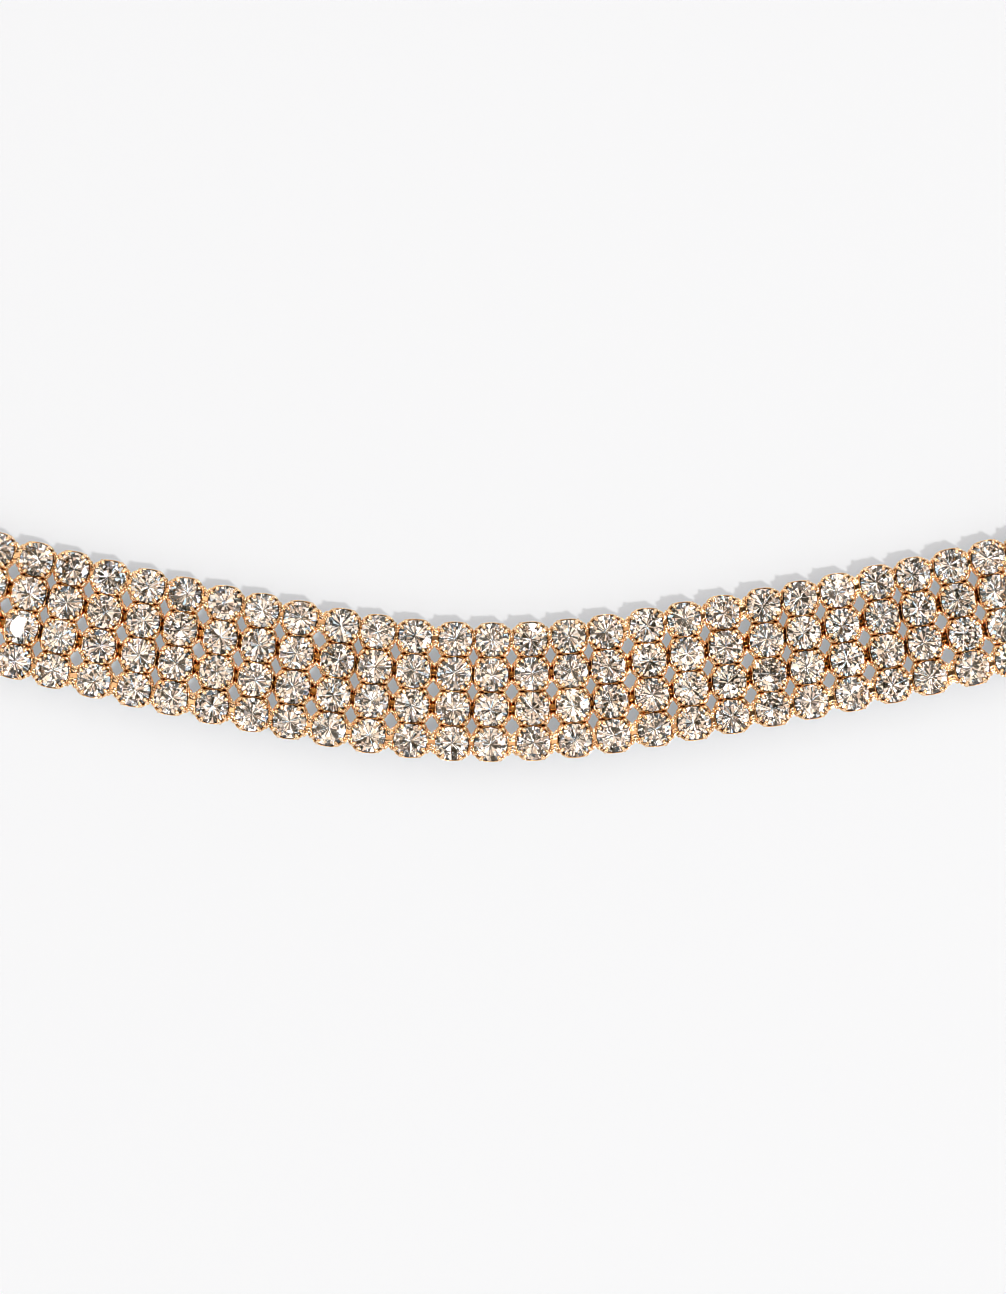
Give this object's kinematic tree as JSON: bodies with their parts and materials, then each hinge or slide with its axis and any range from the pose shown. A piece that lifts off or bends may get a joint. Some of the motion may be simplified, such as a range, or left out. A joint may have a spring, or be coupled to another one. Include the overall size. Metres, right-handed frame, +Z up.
{
  "type": "four-row crystal cup-chain choker necklace",
  "caption": "Flat choker necklace of round clear crystals in claw cups, soldered in bars and joined by small links into a flexible band, closed by a plain clasp.",
  "frame": {"origin": "middle of the loop, on the surface that the necklace lies on", "axes": "+Z up out of the crystals' tables, -Y to the front of the necklace, +Y to the clasp, X from side to side"},
  "size_m": [0.1728, 0.0972, 0.0022],
  "materials": {
    "rose_gold": "polished rose-gold plate",
    "crystal": "clear cut glass, polished facets",
    "foil": "silver foil behind each crystal"
  },
  "bodies": {
    "root": {"band_stretch_01": "rose_gold", "band_stretch_02": "rose_gold", "band_stretch_03": "rose_gold", "band_stretch_04": "rose_gold", "band_stretch_05": "rose_gold", "band_stretch_06": "rose_gold", "band_stretch_07": "rose_gold", "band_stretch_08": "rose_gold", "band_stretch_09": "rose_gold", "band_stretch_10": "rose_gold", "band_stretch_11": "rose_gold", "band_stretch_12": "rose_gold", "band_stretch_13": "rose_gold", "band_stretch_14": "rose_gold", "band_stretch_15": "rose_gold", "band_stretch_16": "rose_gold", "band_stretch_17": "rose_gold", "band_stretch_18": "rose_gold", "band_stretch_19": "rose_gold", "band_stretch_20": "rose_gold", "band_stretch_21": "rose_gold", "band_stretch_22": "rose_gold", "band_stretch_23": "rose_gold", "band_stretch_24": "rose_gold", "band_stretch_25": "rose_gold", "band_stretch_26": "rose_gold", "band_stretch_27": "rose_gold", "band_stretch_28": "rose_gold", "band_stretch_29": "rose_gold", "band_stretch_30": "rose_gold", "band_stretch_31": "rose_gold", "band_stretch_32": "rose_gold", "band_stretch_33": "rose_gold", "band_stretch_34": "rose_gold", "clasp": "rose_gold"}
  },
  "joints": []
}
